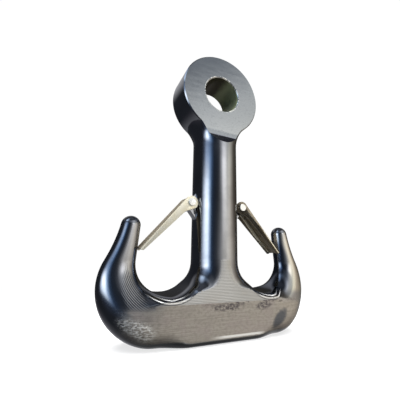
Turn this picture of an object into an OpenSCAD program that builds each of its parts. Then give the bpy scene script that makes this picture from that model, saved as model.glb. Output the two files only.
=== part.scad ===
// Eye-type double crane hook (ramshorn hook) with two spring-closed safety latches.
// Origin: middle of the flat base. +Z up the shank, X across the two hooks, Y through the eye.

/* [Shank] */
// Radius of the round shank
shank_r = 35; // [33:0.5:37]
// Height of the eye bore's axis above the base
eye_z = 370.4; // [360:0.2:390]

/* [Eye] */
// Outer radius of the eye
eye_r = 67.3; // [64:0.1:70]
// Thickness of the eye between its two flats
eye_t = 53; // [50:0.2:56]
// Chamfer round the edge of each eye flat
eye_chamfer = 1.5; // [0.5:0.1:2.5]
// Radius of the bore for the hanging pin
bore_r = 29.5; // [26:0.5:34]
// Chamfer at each end of the bore
bore_chamfer = 1.6; // [0.5:0.1:3]
// Radius of the fillet from the shank to the eye
neck_fillet_r = 50; // [44:1:56]
// Height of the ramp from the shank's surface down to the eye flat
ramp_h = 13; // [10:0.5:16]

/* [Bowls and arms] */
// Radius of each hook bowl
bowl_r = 41; // [39:0.5:43]
// Height of the bowl centres above the base
bowl_z = 102; // [98:1:106]
// Half thickness of the base
base_half_t = 38; // [36:0.5:40]
// Radius of the big lower corners
corner_r = 72; // [68:1:74]
// Distance of the lower corners' centres from the middle
corner_x = 92; // [88:1:94]
// Radius of the hollow on the outside of each arm, under the tip
arm_hollow_r = 195; // [180:5:210]
// Radius of the round hook tip
tip_r = 13; // [12:0.5:14]
// Edge radius along the bottom of the base
foot_edge_r = 10; // [8:1:14]
// Edge radius at the bottom of each bowl
bowl_edge_r = 20; // [16:1:24]

/* [Latches] */
// Distance of each latch pivot from the shank's axis
pivot_x = 43.5; // [42.5:0.5:45]
// Height of the latch pivots above the base
pivot_z = 188; // [180:1:196]
// Slope of a closed latch below the horizontal
latch_slope = 49; // [47:0.5:50]
// Length of a latch from its pivot to its nose
latch_len = 98; // [96:0.2:98]
// Outer width of the latch channel
latch_w = 26; // [24:0.5:28]
// Thickness of the latch sheet
latch_sheet = 2.2; // [1.6:0.1:2.4]
// Radius of the round ears at the pivot
ear_r = 10; // [9.5:0.1:10.5]
// Depth of the channel at its nose
nose_depth = 6; // [5:0.5:8]
// Radius of the pivot pin
pin_r = 3.5; // [3:0.1:3.8]
// Width of the lug between the latch's two cheeks
lug_w = 12; // [11:0.5:13]

/* [Hidden] */
$fn = 64;

// colours
forging_col = [0.16, 0.17, 0.20];
zinc_col = [0.90, 0.86, 0.66];
pin_col = [0.93, 0.92, 0.88];
wire_col = [0.45, 0.46, 0.48];

// fits
skin = 0.15;            // the lofted root stays this far inside the round shank
running_gap = 0.08;     // radial clearance of a latch on its pin
drive_gap = 0.03;       // radial clearance of the pin in the lug
side_gap = 0.35;        // play along the pin
past = 4;               // how far a cutter reaches past what it cuts

// shank and neck
shank_from = 112;
neck_from = eye_z - sqrt(pow(eye_r + neck_fillet_r, 2) - pow(shank_r + neck_fillet_r, 2));
neck_r = shank_r - 0.05;
neck_steps = 12;
neck_low = neck_from - 18;
neck_top = neck_from + 38;
neck_lap = 3;           // the round shank reaches this far up round the neck's foot
neck_bite = 0.5;        // how far the fillet runs into the eye's rim
neck_sides = 64;
ramp_from = neck_from - 6.6;
flat_from = ramp_from + ramp_h;
ramp_toe = 0.9;         // how far the ramp still stands off the flat where it starts to level out
toe_h = 8;              // height over which it levels out

// loft of the base and arms
loft_shank_r = shank_r - skin;
loft_top = 120;
bowl_x = loft_shank_r + bowl_r;
arm_half_t = 14.5;
milled_from = 52;       // the front face leans back to the shank between these two heights
milled_to = 108;
root_edge_r = 30;       // edge radius where a bowl leaves the base
edge_cut = 8;           // how much of a bowl's edge rounding the flat face cuts off
cut_from = 0.6;         // share of the bend where the flat face starts to cut it
round_part = 0.97;      // how much of the half thickness a full rounding takes
corner_end_a = 27;      // where the big corner runs into the arm's hollow
hollow_turn = 15;
bowl_start_a = 6;
ball_end_a = 176;       // where the round tip runs into the inner side of the arm
bend_grow = 1.6;        // how late the arm's thickness grows into the base
foot_round_from = 0.4;  // share of the bend where the full rounding starts to tighten
corner_edge_r = 26;     // the edge along the foot swells to this radius at the big corners
edge_from_x = 50;       // from here outwards
bowl_round_from = 0.35;
root_a = -130;          // bowl angle where the root leaves the base and joins the shank
n_ball = 10;
n_arm = 5;
n_bend = 15;
n_base = 6;
n_root = 7;
n_shank = 2;
n_edge = 7;             // points around the rounding of a section

// latch
cheek_y = latch_w / 2 - latch_sheet;
web_in = ear_r - latch_sheet;
lug_r = web_in - 0.6;
lug_root_x = shank_r - 10;
lug_foot_x = shank_r - 0.6;
lug_turn_a = 40;
nose_chamfer = 1.5;
web_start = 2;          // where the web starts, past the pivot
head_r = 5.6;
head_h = 2.6;
under_head = latch_w / 2 + side_gap;
washer_r = 6.6;
washer_h = 1.2;
washer_gap = 0.2;       // radial clearance of the washer on the pin
washer_y = latch_w / 2 + side_gap / 2 + washer_h / 2;
cotter_r = 0.9;
cotter_gap = 0.1;
cotter_leg = 4;         // below the pivot pin
cotter_neck = 2.2;      // above the pivot pin
cotter_ring_h = 3.6;
cotter_ring_r = 1.9;
pin_tail = 2.4;         // past the split pin
pin_rear = latch_w / 2 + side_gap + washer_h + side_gap + 2 * cotter_r + pin_tail;
cotter_y = latch_w / 2 + side_gap + washer_h + side_gap + cotter_r;
wire_r = 0.8;
coil_gap = 0.55;        // between the coil and the pin
coil_r = pin_r + coil_gap + wire_r;
coil_half = (cheek_y - lug_w / 2) / 2 - side_gap;
coil_mid = (cheek_y + lug_w / 2) / 2;
leg_r = 0.72;
leg_in = 1.1;           // from the end of a coil to the middle of its leg
leg_len = 24;
web_leg_a = 4;
bridge_at = leg_len - 0.4;
bridge_half = coil_mid + coil_half - 0.6;
bridge_u = bridge_at * cos(web_leg_a);
bridge_v = coil_r + bridge_at * sin(web_leg_a);
rest_leg_len = 17;
rest_leg_a = 10;

// ---- helpers -------------------------------------------------------------------------------
function mix(a, b, u) = a + (b - a) * u;
function ease(u) = let (c = min(1, max(0, u))) c * c * (3 - 2 * c);
function on_arc(c, r, a) = [c[0] + r * cos(a), c[1] + r * sin(a)];

// ---- outline stations of one side ----------------------------------------------------------
// A station is [outline point, spine point, half thickness, rounding in, rounding through,
// how much of the rounding the flat face cuts off].
corner_c = [corner_x, corner_r];
hollow_c = on_arc(corner_c, corner_r + arm_hollow_r, corner_end_a);
arm_end = on_arc(hollow_c, arm_hollow_r, 180 + corner_end_a - hollow_turn);
ball_c = on_arc(arm_end, -tip_r, corner_end_a - hollow_turn);
bowl_c = [bowl_x, bowl_z];
ball_in = on_arc(ball_c, tip_r, ball_end_a);
bowl_in = on_arc(bowl_c, bowl_r, bowl_start_a);
base_spine_z = (bowl_z - bowl_r) / 2;

function face_limit(z) =
  mix(base_half_t, shank_r, min(1, max(0, (z - milled_from) / (milled_to - milled_from))));
function bend_t(u) = arm_half_t + (base_half_t - arm_half_t) * pow(sin(90 * u), bend_grow);
function arm_out(v) =
  on_arc(hollow_c, arm_hollow_r, mix(180 + corner_end_a - hollow_turn, 180 + corner_end_a, v));
function arm_in(v) = [mix(ball_in[0], bowl_in[0], v), mix(ball_in[1], bowl_in[1], v)];
function bend_out(u) = on_arc(corner_c, corner_r, mix(corner_end_a, -90, u));
function bend_in(u) = on_arc(bowl_c, bowl_r, mix(bowl_start_a, -90, u));
function middle(a, b) = (a + b) / 2;
function station(p, s, h, rd, ry, cut = 0) = [p, s, h, min(rd, norm(p - s)), min(ry, round_part * h), cut];
function full(p, s, h) = station(p, s, h, norm(p - s), h);
function bend_round(u, from) = ease((u - from) / (1 - from));

function bend_station(p, u, edge_r, from, cut = 0) =
  let (s = middle(bend_out(u), bend_in(u)), h = bend_t(u), w = bend_round(u, from))
  station(p, s, h, mix(norm(p - s), edge_r, w), mix(h, edge_r, w), cut * bend_round(u, cut_from));

base_side = [for (k = [0 : n_base - 1])
  let (x = corner_x * k / n_base, s = [middle(bend_out(1), bend_in(1))[0] * k / n_base, base_spine_z])
  let (r = mix(foot_edge_r, corner_edge_r, ease(max(0, (x - edge_from_x) / (corner_x - edge_from_x)))))
  station([x, 0], s, base_half_t, r, r)];
bend_outer = [for (k = [n_bend : -1 : 1])
  bend_station(bend_out(k / n_bend), k / n_bend, corner_edge_r, foot_round_from)];
arm_outer = [for (k = [n_arm : -1 : 1])
  full(arm_out(k / n_arm), middle(arm_out(k / n_arm), arm_in(k / n_arm)), mix(tip_r, arm_half_t, k / n_arm))];
ball = [for (k = [0 : n_ball])
  full(on_arc(ball_c, tip_r, mix(corner_end_a - hollow_turn, ball_end_a, k / n_ball)), ball_c, tip_r)];
arm_inner = [for (k = [1 : n_arm])
  full(arm_in(k / n_arm), middle(arm_out(k / n_arm), arm_in(k / n_arm)), mix(tip_r, arm_half_t, k / n_arm))];
bend_inner = [for (k = [1 : n_bend])
  bend_station(bend_in(k / n_bend), k / n_bend, bowl_edge_r, bowl_round_from, edge_cut)];
base_inner = [for (k = [n_base - 1 : -1 : 0])
  let (a = mix(root_a, -90, k / n_base), s = [middle(bend_out(1), bend_in(1))[0] * k / n_base, base_spine_z])
  let (r = mix(root_edge_r, bowl_edge_r, k / n_base))
  station(on_arc(bowl_c, bowl_r, a), s, base_half_t, r, r, edge_cut)];
root_inner = [for (k = [1 : n_root])
  let (u = k / n_root, p = on_arc(bowl_c, bowl_r, mix(root_a, -180, u)), w = ease(u))
  let (z = mix(base_spine_z, bowl_z, u))
  station(p, [0, z], face_limit(z), mix(root_edge_r, loft_shank_r, w), mix(root_edge_r, shank_r, w),
          edge_cut * pow(1 - w, 4))];
shank_inner = [for (k = [1 : n_shank])
  let (z = mix(bowl_z, loft_top, k / n_shank))
  full([loft_shank_r, z], [0, z], min(face_limit(z), mix(shank_r, loft_shank_r, k / n_shank)))];

side = concat(
  base_side, bend_outer, arm_outer, ball, arm_inner, bend_inner, base_inner, root_inner, shank_inner);
n_side = len(side);

function flip(st) = [[-st[0][0], st[0][1]], [-st[1][0], st[1][1]], st[2], st[3], st[4], st[5]];
// all round, from the shank's left side down, along the base and up to the shank's right side
loop = concat([for (k = [n_side - 1 : -1 : 1]) flip(side[k])], side);
n_loop = len(loop);

// one section: up the wall, round the edge, then flat in to the spine
function section(st, face) =
  let (p = st[0], s = st[1], h = st[2], rd = st[3], ry = st[4], d = norm(s - p), dir = (s - p) / d)
  let (wall = h + st[5] - ry)
  [for (j = [0 : n_edge + 1])
    let (a = 90 * min(j, n_edge) / n_edge,
         in = j > n_edge ? d : min(rd * (1 - cos(a)), 0.999 * d),
         q = j > n_edge ? s : p + dir * in,
         y = min(wall + ry * sin(a), h))
    [q[0], face * min(y, face_limit(q[1])), q[1]]];

module forged_root() {
  m = n_edge + 2;
  front = [for (st = loop) each section(st, -1)];
  back = [for (st = loop) each section(st, 1)];
  nb = n_loop * m;
  function same(a, b) = norm(loop[a][1] - loop[b][1]) < 0.001;
  quads = [for (i = [0 : n_loop - 2]) for (j = [0 : m - 2])
    let (a = i * m + j, b = a + m, last = j == m - 2 && same(i, i + 1))
    each concat(
      [[a, a + 1, b]], last ? [] : [[b, a + 1, b + 1]],
      [[nb + a, nb + b, nb + a + 1]], last ? [] : [[nb + b, nb + b + 1, nb + a + 1]])];
  walls = [for (i = [0 : n_loop - 2])
    let (a = i * m, b = a + m)
    each [[a, b, nb + a], [b, nb + b, nb + a]]];
  e = (n_loop - 1) * m;
  cap = concat(
    [for (j = [0 : m - 1]) nb + j], [for (j = [m - 2 : -1 : 0]) nb + e + j],
    [for (j = [0 : m - 1]) e + j], [for (j = [m - 2 : -1 : 0]) j]);
  polyhedron(points = concat(front, back), faces = concat(quads, walls, [cap]));
}

// ---- the hook forging ----------------------------------------------------------------------
// half width of the neck at depth y and height z: every slice has its own fillet to the eye's rim
function disc_r(y) = eye_r - neck_bite - min(eye_chamfer, max(0, abs(y) - eye_t / 2 + eye_chamfer));
function fillet_rise(x, y) = sqrt(pow(disc_r(y) + neck_fillet_r, 2) - pow(x + neck_fillet_r, 2));
function fillet_x(x, y, z) =
  let (h = fillet_rise(x, y), up = z - eye_z + h, top = neck_fillet_r * h / (disc_r(y) + neck_fillet_r))
  let (bow = neck_fillet_r - sqrt(pow(neck_fillet_r, 2) - pow(min(max(0, up), 0.98 * neck_fillet_r), 2)))
  up > top ? min(x + bow, sqrt(pow(disc_r(y), 2) - pow(eye_z - z, 2))) : x + bow;
function neck_x(x, y, z) =
  mix(x, fillet_x(x, y, z), min(1, max(0, (shank_r - abs(y)) / (shank_r - eye_t / 2))));

module neck() {
  points = [for (k = [0 : neck_steps]) for (j = [0 : neck_sides - 1])
    let (z = mix(neck_low, neck_top, k / neck_steps), a = 360 * (j + 0.5) / neck_sides)
    let (x = neck_r * cos(a), y = neck_r * sin(a))
    [sign(x) * neck_x(abs(x), y, z), y, z]];
  walls = [for (k = [0 : neck_steps - 1]) for (j = [0 : neck_sides - 1])
    let (a = k * neck_sides + j, b = k * neck_sides + (j + 1) % neck_sides)
    each [[a, a + neck_sides, b + neck_sides], [a, b + neck_sides, b]]];
  last = neck_steps * neck_sides;
  foot_mid = len(points);
  ends = [for (j = [0 : neck_sides - 1])
    let (next = (j + 1) % neck_sides)
    each [[j, next, foot_mid], [last + next, last + j, foot_mid + 1]]];
  polyhedron(points = concat(points, [[0, 0, neck_low], [0, 0, neck_top]]), faces = concat(walls, ends));
  translate([0, 0, shank_from])
    cylinder(r = shank_r, h = neck_low + neck_lap - shank_from, $fn = 96);
}

// two wedges that cut the flats of the eye, each with its ramp out to the shank's surface
module flat_cuts() {
  far = 90;
  for (s = [-1, 1])
    translate([-far, 0, 0])
      rotate([90, 0, 90])
        linear_extrude(2 * far)
          polygon([
            [s * (shank_r + 1), ramp_from], [s * shank_r, ramp_from],
            [s * (eye_t / 2 + ramp_toe), flat_from], [s * eye_t / 2, flat_from + toe_h],
            [s * eye_t / 2, eye_z + far], [s * far, eye_z + far], [s * far, ramp_from]]);
}

module across(r, l, x, z, y = 0) {
  translate([x, y + l / 2, z])
    rotate([90, 0, 0])
      cylinder(r = r, h = l);
}

module eye_disc() {
  h = eye_t / 2;
  c = eye_chamfer;
  translate([0, 0, eye_z])
    rotate([90, 0, 0])
      rotate_extrude($fn = 128)
        polygon([[0, -h], [eye_r - c, -h], [eye_r, c - h], [eye_r, h - c], [eye_r - c, h], [0, h]]);
}

module eye_cutters() {
  across(bore_r, eye_t + 2 * past, 0, eye_z);
  for (s = [-1, 1])
    translate([0, s * (eye_t / 2 - bore_chamfer), eye_z])
      rotate([-s * 90, 0, 0])
        cylinder(r1 = bore_r, r2 = bore_r + 2 * bore_chamfer, h = 2 * bore_chamfer);
}

// a lug that stands off the shank and carries one latch pin; s is -1 for the left, 1 for the right
module lug(s) {
  translate([s * pivot_x, lug_w / 2, pivot_z])
    rotate([90, 0, 0])
      cylinder(r = lug_r, h = lug_w);
  rotate([90, 0, 0])
    translate([0, 0, -lug_w / 2])
      linear_extrude(lug_w)
        polygon([
          [s * lug_root_x, pivot_z + 17], [s * lug_foot_x, pivot_z + 15],
          [s * (pivot_x - 4), pivot_z + lug_r - 0.7],
          [s * (pivot_x + lug_r * cos(lug_turn_a)), pivot_z - lug_r * sin(lug_turn_a)],
          [s * lug_foot_x, pivot_z - 22], [s * lug_root_x, pivot_z - 24]]);
}

module hook_body() {
  color(forging_col)
    difference() {
      union() {
        forged_root();
        difference() {
          neck();
          flat_cuts();
        }
        eye_disc();
        lug(-1);
        lug(1);
      }
      eye_cutters();
      across(pin_r + drive_gap, lug_w + 2 * past, -pivot_x, pivot_z);
      across(pin_r + drive_gap, lug_w + 2 * past, pivot_x, pivot_z);
    }
}

// ---- one latch, drawn along its own length -------------------------------------------------
// u runs from the pivot to the nose, v is away from the bowl; placed by seat(s).
module seat(s) {
  translate([s * pivot_x, 0, pivot_z])
    mirror([s < 0 ? 1 : 0, 0, 0])
      rotate([0, latch_slope, 0])
        children();
}

// an outline in (u, v), given a width through Y about the middle
module through(w) {
  rotate([90, 0, 0])
    translate([0, 0, -w / 2])
      linear_extrude(w)
        children();
}

module cheek_outline() {
  ear = [for (a = [90 : 10 : 280]) on_arc([0, 0], ear_r, a)];
  polygon(concat(ear, [
    [0.17 * latch_len, -0.2 * ear_r],
    [latch_len - nose_chamfer, ear_r - nose_depth],
    [latch_len, ear_r - nose_depth + nose_chamfer], [latch_len, ear_r]]));
}

module gate_shape() {
  difference() {
    through(latch_w) cheek_outline();
    // the hollow of the channel, open to the bowl and open behind the pivot
    translate([-ear_r - past, -cheek_y, -2 * ear_r])
      cube([latch_len + ear_r + 2 * past, 2 * cheek_y, 2 * ear_r + web_in]);
    // the web stops short of the pivot, so that only the two cheeks straddle the lug
    translate([-ear_r - past, -cheek_y, 0])
      cube([ear_r + past + web_start, 2 * cheek_y, 2 * ear_r]);
    across(pin_r + running_gap, latch_w + 2 * past, 0, 0);
  }
}

module latch_gate(s) {
  color(zinc_col)
    seat(s)
      gate_shape();
}

// double torsion spring: a coil on each side of the lug, a bridge under the web, two legs on the shank
module latch_spring(s) {
  color(wire_col) {
    seat(s) {
      for (t = [-1, 1]) {
        spring_coil(t * coil_mid);
        translate([0, t * (coil_mid + coil_half - leg_in), coil_r])
          rotate([0, 90 - web_leg_a, 0])
            cylinder(r = leg_r, h = leg_len);
      }
      across(wire_r, 2 * bridge_half, bridge_u, bridge_v);
    }
    for (t = [-1, 1])
      translate([s * (pivot_x - coil_r), t * (coil_mid - coil_half + leg_in), pivot_z])
        rotate([0, 180 + s * rest_leg_a, 0])
          cylinder(r = leg_r, h = rest_leg_len);
  }
}

module spring_coil(y) {
  translate([0, y + coil_half, 0])
    rotate([90, 0, 0])
      rotate_extrude()
        translate([coil_r - wire_r, 0])
          square([2 * wire_r, 2 * coil_half]);
}

module pivot_pin(s) {
  color(pin_col)
    difference() {
      union() {
        across(pin_r, pin_rear + under_head, s * pivot_x, pivot_z, (pin_rear - under_head) / 2);
        across(head_r, head_h, s * pivot_x, pivot_z, -under_head - head_h / 2);
      }
      translate([s * pivot_x, cotter_y, pivot_z - pin_r - past])
        cylinder(r = cotter_r + cotter_gap, h = 2 * (pin_r + past));
    }
}

module pin_washer(s) {
  color(pin_col)
    difference() {
      across(washer_r, washer_h, s * pivot_x, pivot_z, washer_y);
      across(pin_r + washer_gap, washer_h + 2 * past, s * pivot_x, pivot_z, washer_y);
    }
}

// split pin: a ring above the pivot pin and two short legs below it
module split_pin(s) {
  color(wire_col)
    translate([s * pivot_x, cotter_y, pivot_z]) {
      translate([0, 0, -pin_r - cotter_leg])
        cylinder(r = cotter_r, h = cotter_leg + 2 * pin_r + cotter_neck);
      translate([0, 0, pin_r + cotter_ring_h])
        rotate([90, 0, 0])
          rotate_extrude()
            translate([cotter_ring_r, 0])
              circle(r = cotter_r * 0.8, $fn = 24);
    }
}

hook_body();
latch_gate(-1);  // left_latch_gate
latch_spring(-1);  // left_latch_spring
pivot_pin(-1);  // left_pivot_pin
pin_washer(-1);  // left_pin_washer
split_pin(-1);  // left_split_pin
latch_gate(1);  // right_latch_gate
latch_spring(1);  // right_latch_spring
pivot_pin(1);  // right_pivot_pin
pin_washer(1);  // right_pin_washer
split_pin(1);  // right_split_pin
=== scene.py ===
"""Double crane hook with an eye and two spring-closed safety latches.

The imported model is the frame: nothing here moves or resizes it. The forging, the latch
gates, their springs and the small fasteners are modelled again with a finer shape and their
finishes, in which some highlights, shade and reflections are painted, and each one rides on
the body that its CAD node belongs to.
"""

import logging
import math
from dataclasses import dataclass, field, replace
from enum import Enum
from types import SimpleNamespace
from typing import Callable, Optional, Sequence

import bpy
from mathutils import Matrix, Vector


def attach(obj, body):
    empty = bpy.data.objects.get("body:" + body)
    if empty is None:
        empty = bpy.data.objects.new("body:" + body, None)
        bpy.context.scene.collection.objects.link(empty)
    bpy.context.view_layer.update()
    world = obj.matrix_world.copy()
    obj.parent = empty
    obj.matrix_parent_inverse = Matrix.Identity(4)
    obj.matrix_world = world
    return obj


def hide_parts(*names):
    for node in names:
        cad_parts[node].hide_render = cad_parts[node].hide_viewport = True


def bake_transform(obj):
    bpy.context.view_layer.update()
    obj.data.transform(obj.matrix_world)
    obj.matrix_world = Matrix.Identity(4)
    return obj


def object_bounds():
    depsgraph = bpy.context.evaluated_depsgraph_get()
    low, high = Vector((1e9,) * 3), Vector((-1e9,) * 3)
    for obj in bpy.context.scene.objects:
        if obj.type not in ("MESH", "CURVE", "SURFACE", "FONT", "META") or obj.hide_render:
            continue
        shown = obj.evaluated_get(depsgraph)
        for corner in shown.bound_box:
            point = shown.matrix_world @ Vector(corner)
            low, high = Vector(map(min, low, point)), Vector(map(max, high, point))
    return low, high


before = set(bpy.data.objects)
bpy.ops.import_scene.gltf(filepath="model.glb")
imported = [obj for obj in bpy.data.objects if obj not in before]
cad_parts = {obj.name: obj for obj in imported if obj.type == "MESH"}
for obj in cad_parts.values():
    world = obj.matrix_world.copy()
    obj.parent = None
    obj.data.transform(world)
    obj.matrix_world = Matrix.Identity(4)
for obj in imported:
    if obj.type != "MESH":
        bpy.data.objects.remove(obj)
CAD_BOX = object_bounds()

MM = 0.001
LOG = logging.getLogger("crane_hook")
Point = tuple[float, float]
Colour = tuple[float, float, float]


class Side(Enum):
    """The two halves of the hook, by the sign of X."""

    LEFT = -1
    RIGHT = 1

    @property
    def label(self) -> str:
        """The word that starts this side's node and piece names."""
        return self.name.lower()


class Cut(Enum):
    """How one solid acts on another."""

    JOIN = "UNION"
    REMOVE = "DIFFERENCE"


# ---- modelling helpers -------------------------------------------------------------------------


def mix(a: float, b: float, u: float) -> float:
    """The value a share u of the way from a to b."""
    return a + (b - a) * u


def ease(u: float) -> float:
    """A smooth step from 0 to 1 as u goes from 0 to 1."""
    c = min(1.0, max(0.0, u))
    return c * c * (3.0 - 2.0 * c)


def on_arc(centre: Point, radius: float, degrees: float) -> Point:
    """The point of a circle at an angle."""
    a = math.radians(degrees)
    return centre[0] + radius * math.cos(a), centre[1] + radius * math.sin(a)


def middle(a: Point, b: Point) -> Point:
    """The point halfway between two points."""
    return (a[0] + b[0]) / 2, (a[1] + b[1]) / 2


def deselect() -> None:
    """Leaves object mode with nothing selected, so that the next operator acts on its own piece."""
    if bpy.context.mode != "OBJECT":
        bpy.ops.object.mode_set(mode="OBJECT")
    bpy.ops.object.select_all(action="DESELECT")


def pick(piece: bpy.types.Object) -> None:
    """Makes one piece the only selected one and the active one."""
    deselect()
    piece.select_set(True)
    bpy.context.view_layer.objects.active = piece


def named(name: str) -> bpy.types.Object:
    """Names the object that an operator has just added."""
    piece = bpy.context.active_object
    piece.name = name
    piece.data.name = name
    return piece


def edit(piece: bpy.types.Object, *steps: Callable[[], object]) -> None:
    """Runs operators in edit mode with everything selected.

    Args:
        piece: The piece to edit.
        steps: Calls to make, in order.
    """
    pick(piece)
    bpy.ops.object.mode_set(mode="EDIT")
    bpy.ops.mesh.select_all(action="SELECT")
    for step in steps:
        step()
    bpy.ops.object.mode_set(mode="OBJECT")


def choose(piece: bpy.types.Object, kind: str, keep: Callable[[list[Vector]], bool]) -> None:
    """Enters edit mode with only some edges or faces selected.

    Args:
        piece: The piece to edit.
        kind: EDGE or FACE.
        keep: Says from its corners whether an edge or face is selected.
    """
    pick(piece)
    bpy.ops.object.mode_set(mode="EDIT")
    bpy.ops.mesh.select_mode(type=kind)
    bpy.ops.mesh.select_all(action="DESELECT")
    bpy.ops.object.mode_set(mode="OBJECT")
    for part in piece.data.edges if kind == "EDGE" else piece.data.polygons:
        part.select = keep([piece.data.vertices[i].co for i in part.vertices])
    bpy.ops.object.mode_set(mode="EDIT")


def face_outwards(piece: bpy.types.Object) -> None:
    """Merges doubles and turns every face outwards."""
    edit(
        piece,
        lambda: bpy.ops.mesh.remove_doubles(threshold=1e-6),
        lambda: bpy.ops.mesh.normals_make_consistent(inside=False),
    )


def apply_modifiers(piece: bpy.types.Object) -> None:
    """Applies the piece's modifiers in order."""
    pick(piece)
    for modifier in list(piece.modifiers):
        bpy.ops.object.modifier_apply(modifier=modifier.name)


def combine(piece: bpy.types.Object, other: bpy.types.Object, cut: Cut) -> None:
    """Joins another solid to a piece or removes it from the piece, and deletes the other.

    Args:
        piece: The piece that stays.
        other: The solid that acts on it.
        cut: Whether to join or remove.
    """
    modifier = piece.modifiers.new("cut", "BOOLEAN")
    modifier.operation = cut.value
    modifier.solver = "EXACT"
    modifier.object = other
    apply_modifiers(piece)
    bpy.data.objects.remove(other)


def soften(piece: bpy.types.Object, width: float, segments: int = 2, angle: float = 40.0) -> None:
    """Rounds a piece's sharp edges with a bevel.

    Args:
        piece: The piece.
        width: Width of the bevel in metres.
        segments: How many faces go round each edge.
        angle: Edges sharper than this many degrees are rounded.
    """
    modifier = piece.modifiers.new("edges", "BEVEL")
    modifier.width = width
    modifier.segments = segments
    modifier.limit_method = "ANGLE"
    modifier.angle_limit = math.radians(angle)
    modifier.harden_normals = False
    apply_modifiers(piece)


def smooth(piece: bpy.types.Object, degrees: float = 32.0) -> None:
    """Shades smooth except across edges sharper than an angle, with flat faces kept flat."""
    pick(piece)
    bpy.ops.object.shade_smooth_by_angle(angle=math.radians(degrees))
    even = piece.modifiers.new("flats", "WEIGHTED_NORMAL")
    even.mode = "FACE_AREA_WITH_ANGLE"
    even.weight = 100
    even.keep_sharp = True
    apply_modifiers(piece)


def prism(name: str, outline: Sequence[Point], width: float, middle_y: float = 0.0) -> bpy.types.Object:
    """A flat outline in X and Z given a width through Y.

    Args:
        name: Name of the piece.
        outline: Corners, in millimetres, as (x, z).
        width: Width along Y in millimetres.
        middle_y: Where the middle of the width lies, in millimetres.

    Returns:
        The closed piece.
    """
    deselect()
    bpy.ops.mesh.primitive_circle_add(vertices=len(outline), radius=1.0, fill_type="NGON")
    piece = named(name)
    near = (middle_y - width / 2) * MM
    for vertex, (x, z) in zip(piece.data.vertices, outline):
        vertex.co = (x * MM, near, z * MM)
    edit(
        piece,
        lambda: bpy.ops.mesh.extrude_region_move(TRANSFORM_OT_translate={"value": (0, width * MM, 0)}),
    )
    face_outwards(piece)
    return piece


def rod(name: str, radius: float, length: float, centre: Sequence[float],
        sides: int = 64) -> bpy.types.Object:
    """A cylinder along Y.

    Args:
        name: Name of the piece.
        radius: Radius in millimetres.
        length: Length in millimetres.
        centre: Its middle, in millimetres.
        sides: How many sides it has.

    Returns:
        The piece.
    """
    deselect()
    bpy.ops.mesh.primitive_cylinder_add(
        vertices=sides, radius=radius * MM, depth=length * MM,
        location=[c * MM for c in centre], rotation=(math.pi / 2, 0, 0))
    piece = named(name)
    bpy.ops.object.transform_apply(location=True, rotation=True, scale=True)
    return piece


def wire(name: str, path: Sequence[Sequence[float]], radius: float) -> bpy.types.Object:
    """A round wire along a path, closed at both ends.

    Args:
        name: Name of the piece.
        path: Points in millimetres.
        radius: Radius of the wire in millimetres.

    Returns:
        The wire as a mesh.
    """
    deselect()
    curve = bpy.data.curves.new(name, "CURVE")
    curve.dimensions = "3D"
    spline = curve.splines.new("POLY")
    spline.points.add(len(path) - 1)
    for point, place in zip(spline.points, path):
        point.co = (place[0] * MM, place[1] * MM, place[2] * MM, 1.0)
    curve.bevel_depth = radius * MM
    curve.bevel_resolution = 3
    curve.use_fill_caps = True
    piece = bpy.data.objects.new(name, curve)
    bpy.context.scene.collection.objects.link(piece)
    pick(piece)
    bpy.ops.object.convert(target="MESH")
    face_outwards(piece)
    smooth(piece, 50.0)
    return piece


# ---- finishes ----------------------------------------------------------------------------------


def tinted(colour: Colour, share: float) -> Colour:
    """The same colour, darker or lighter by a factor."""
    return colour[0] * share, colour[1] * share, colour[2] * share


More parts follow.
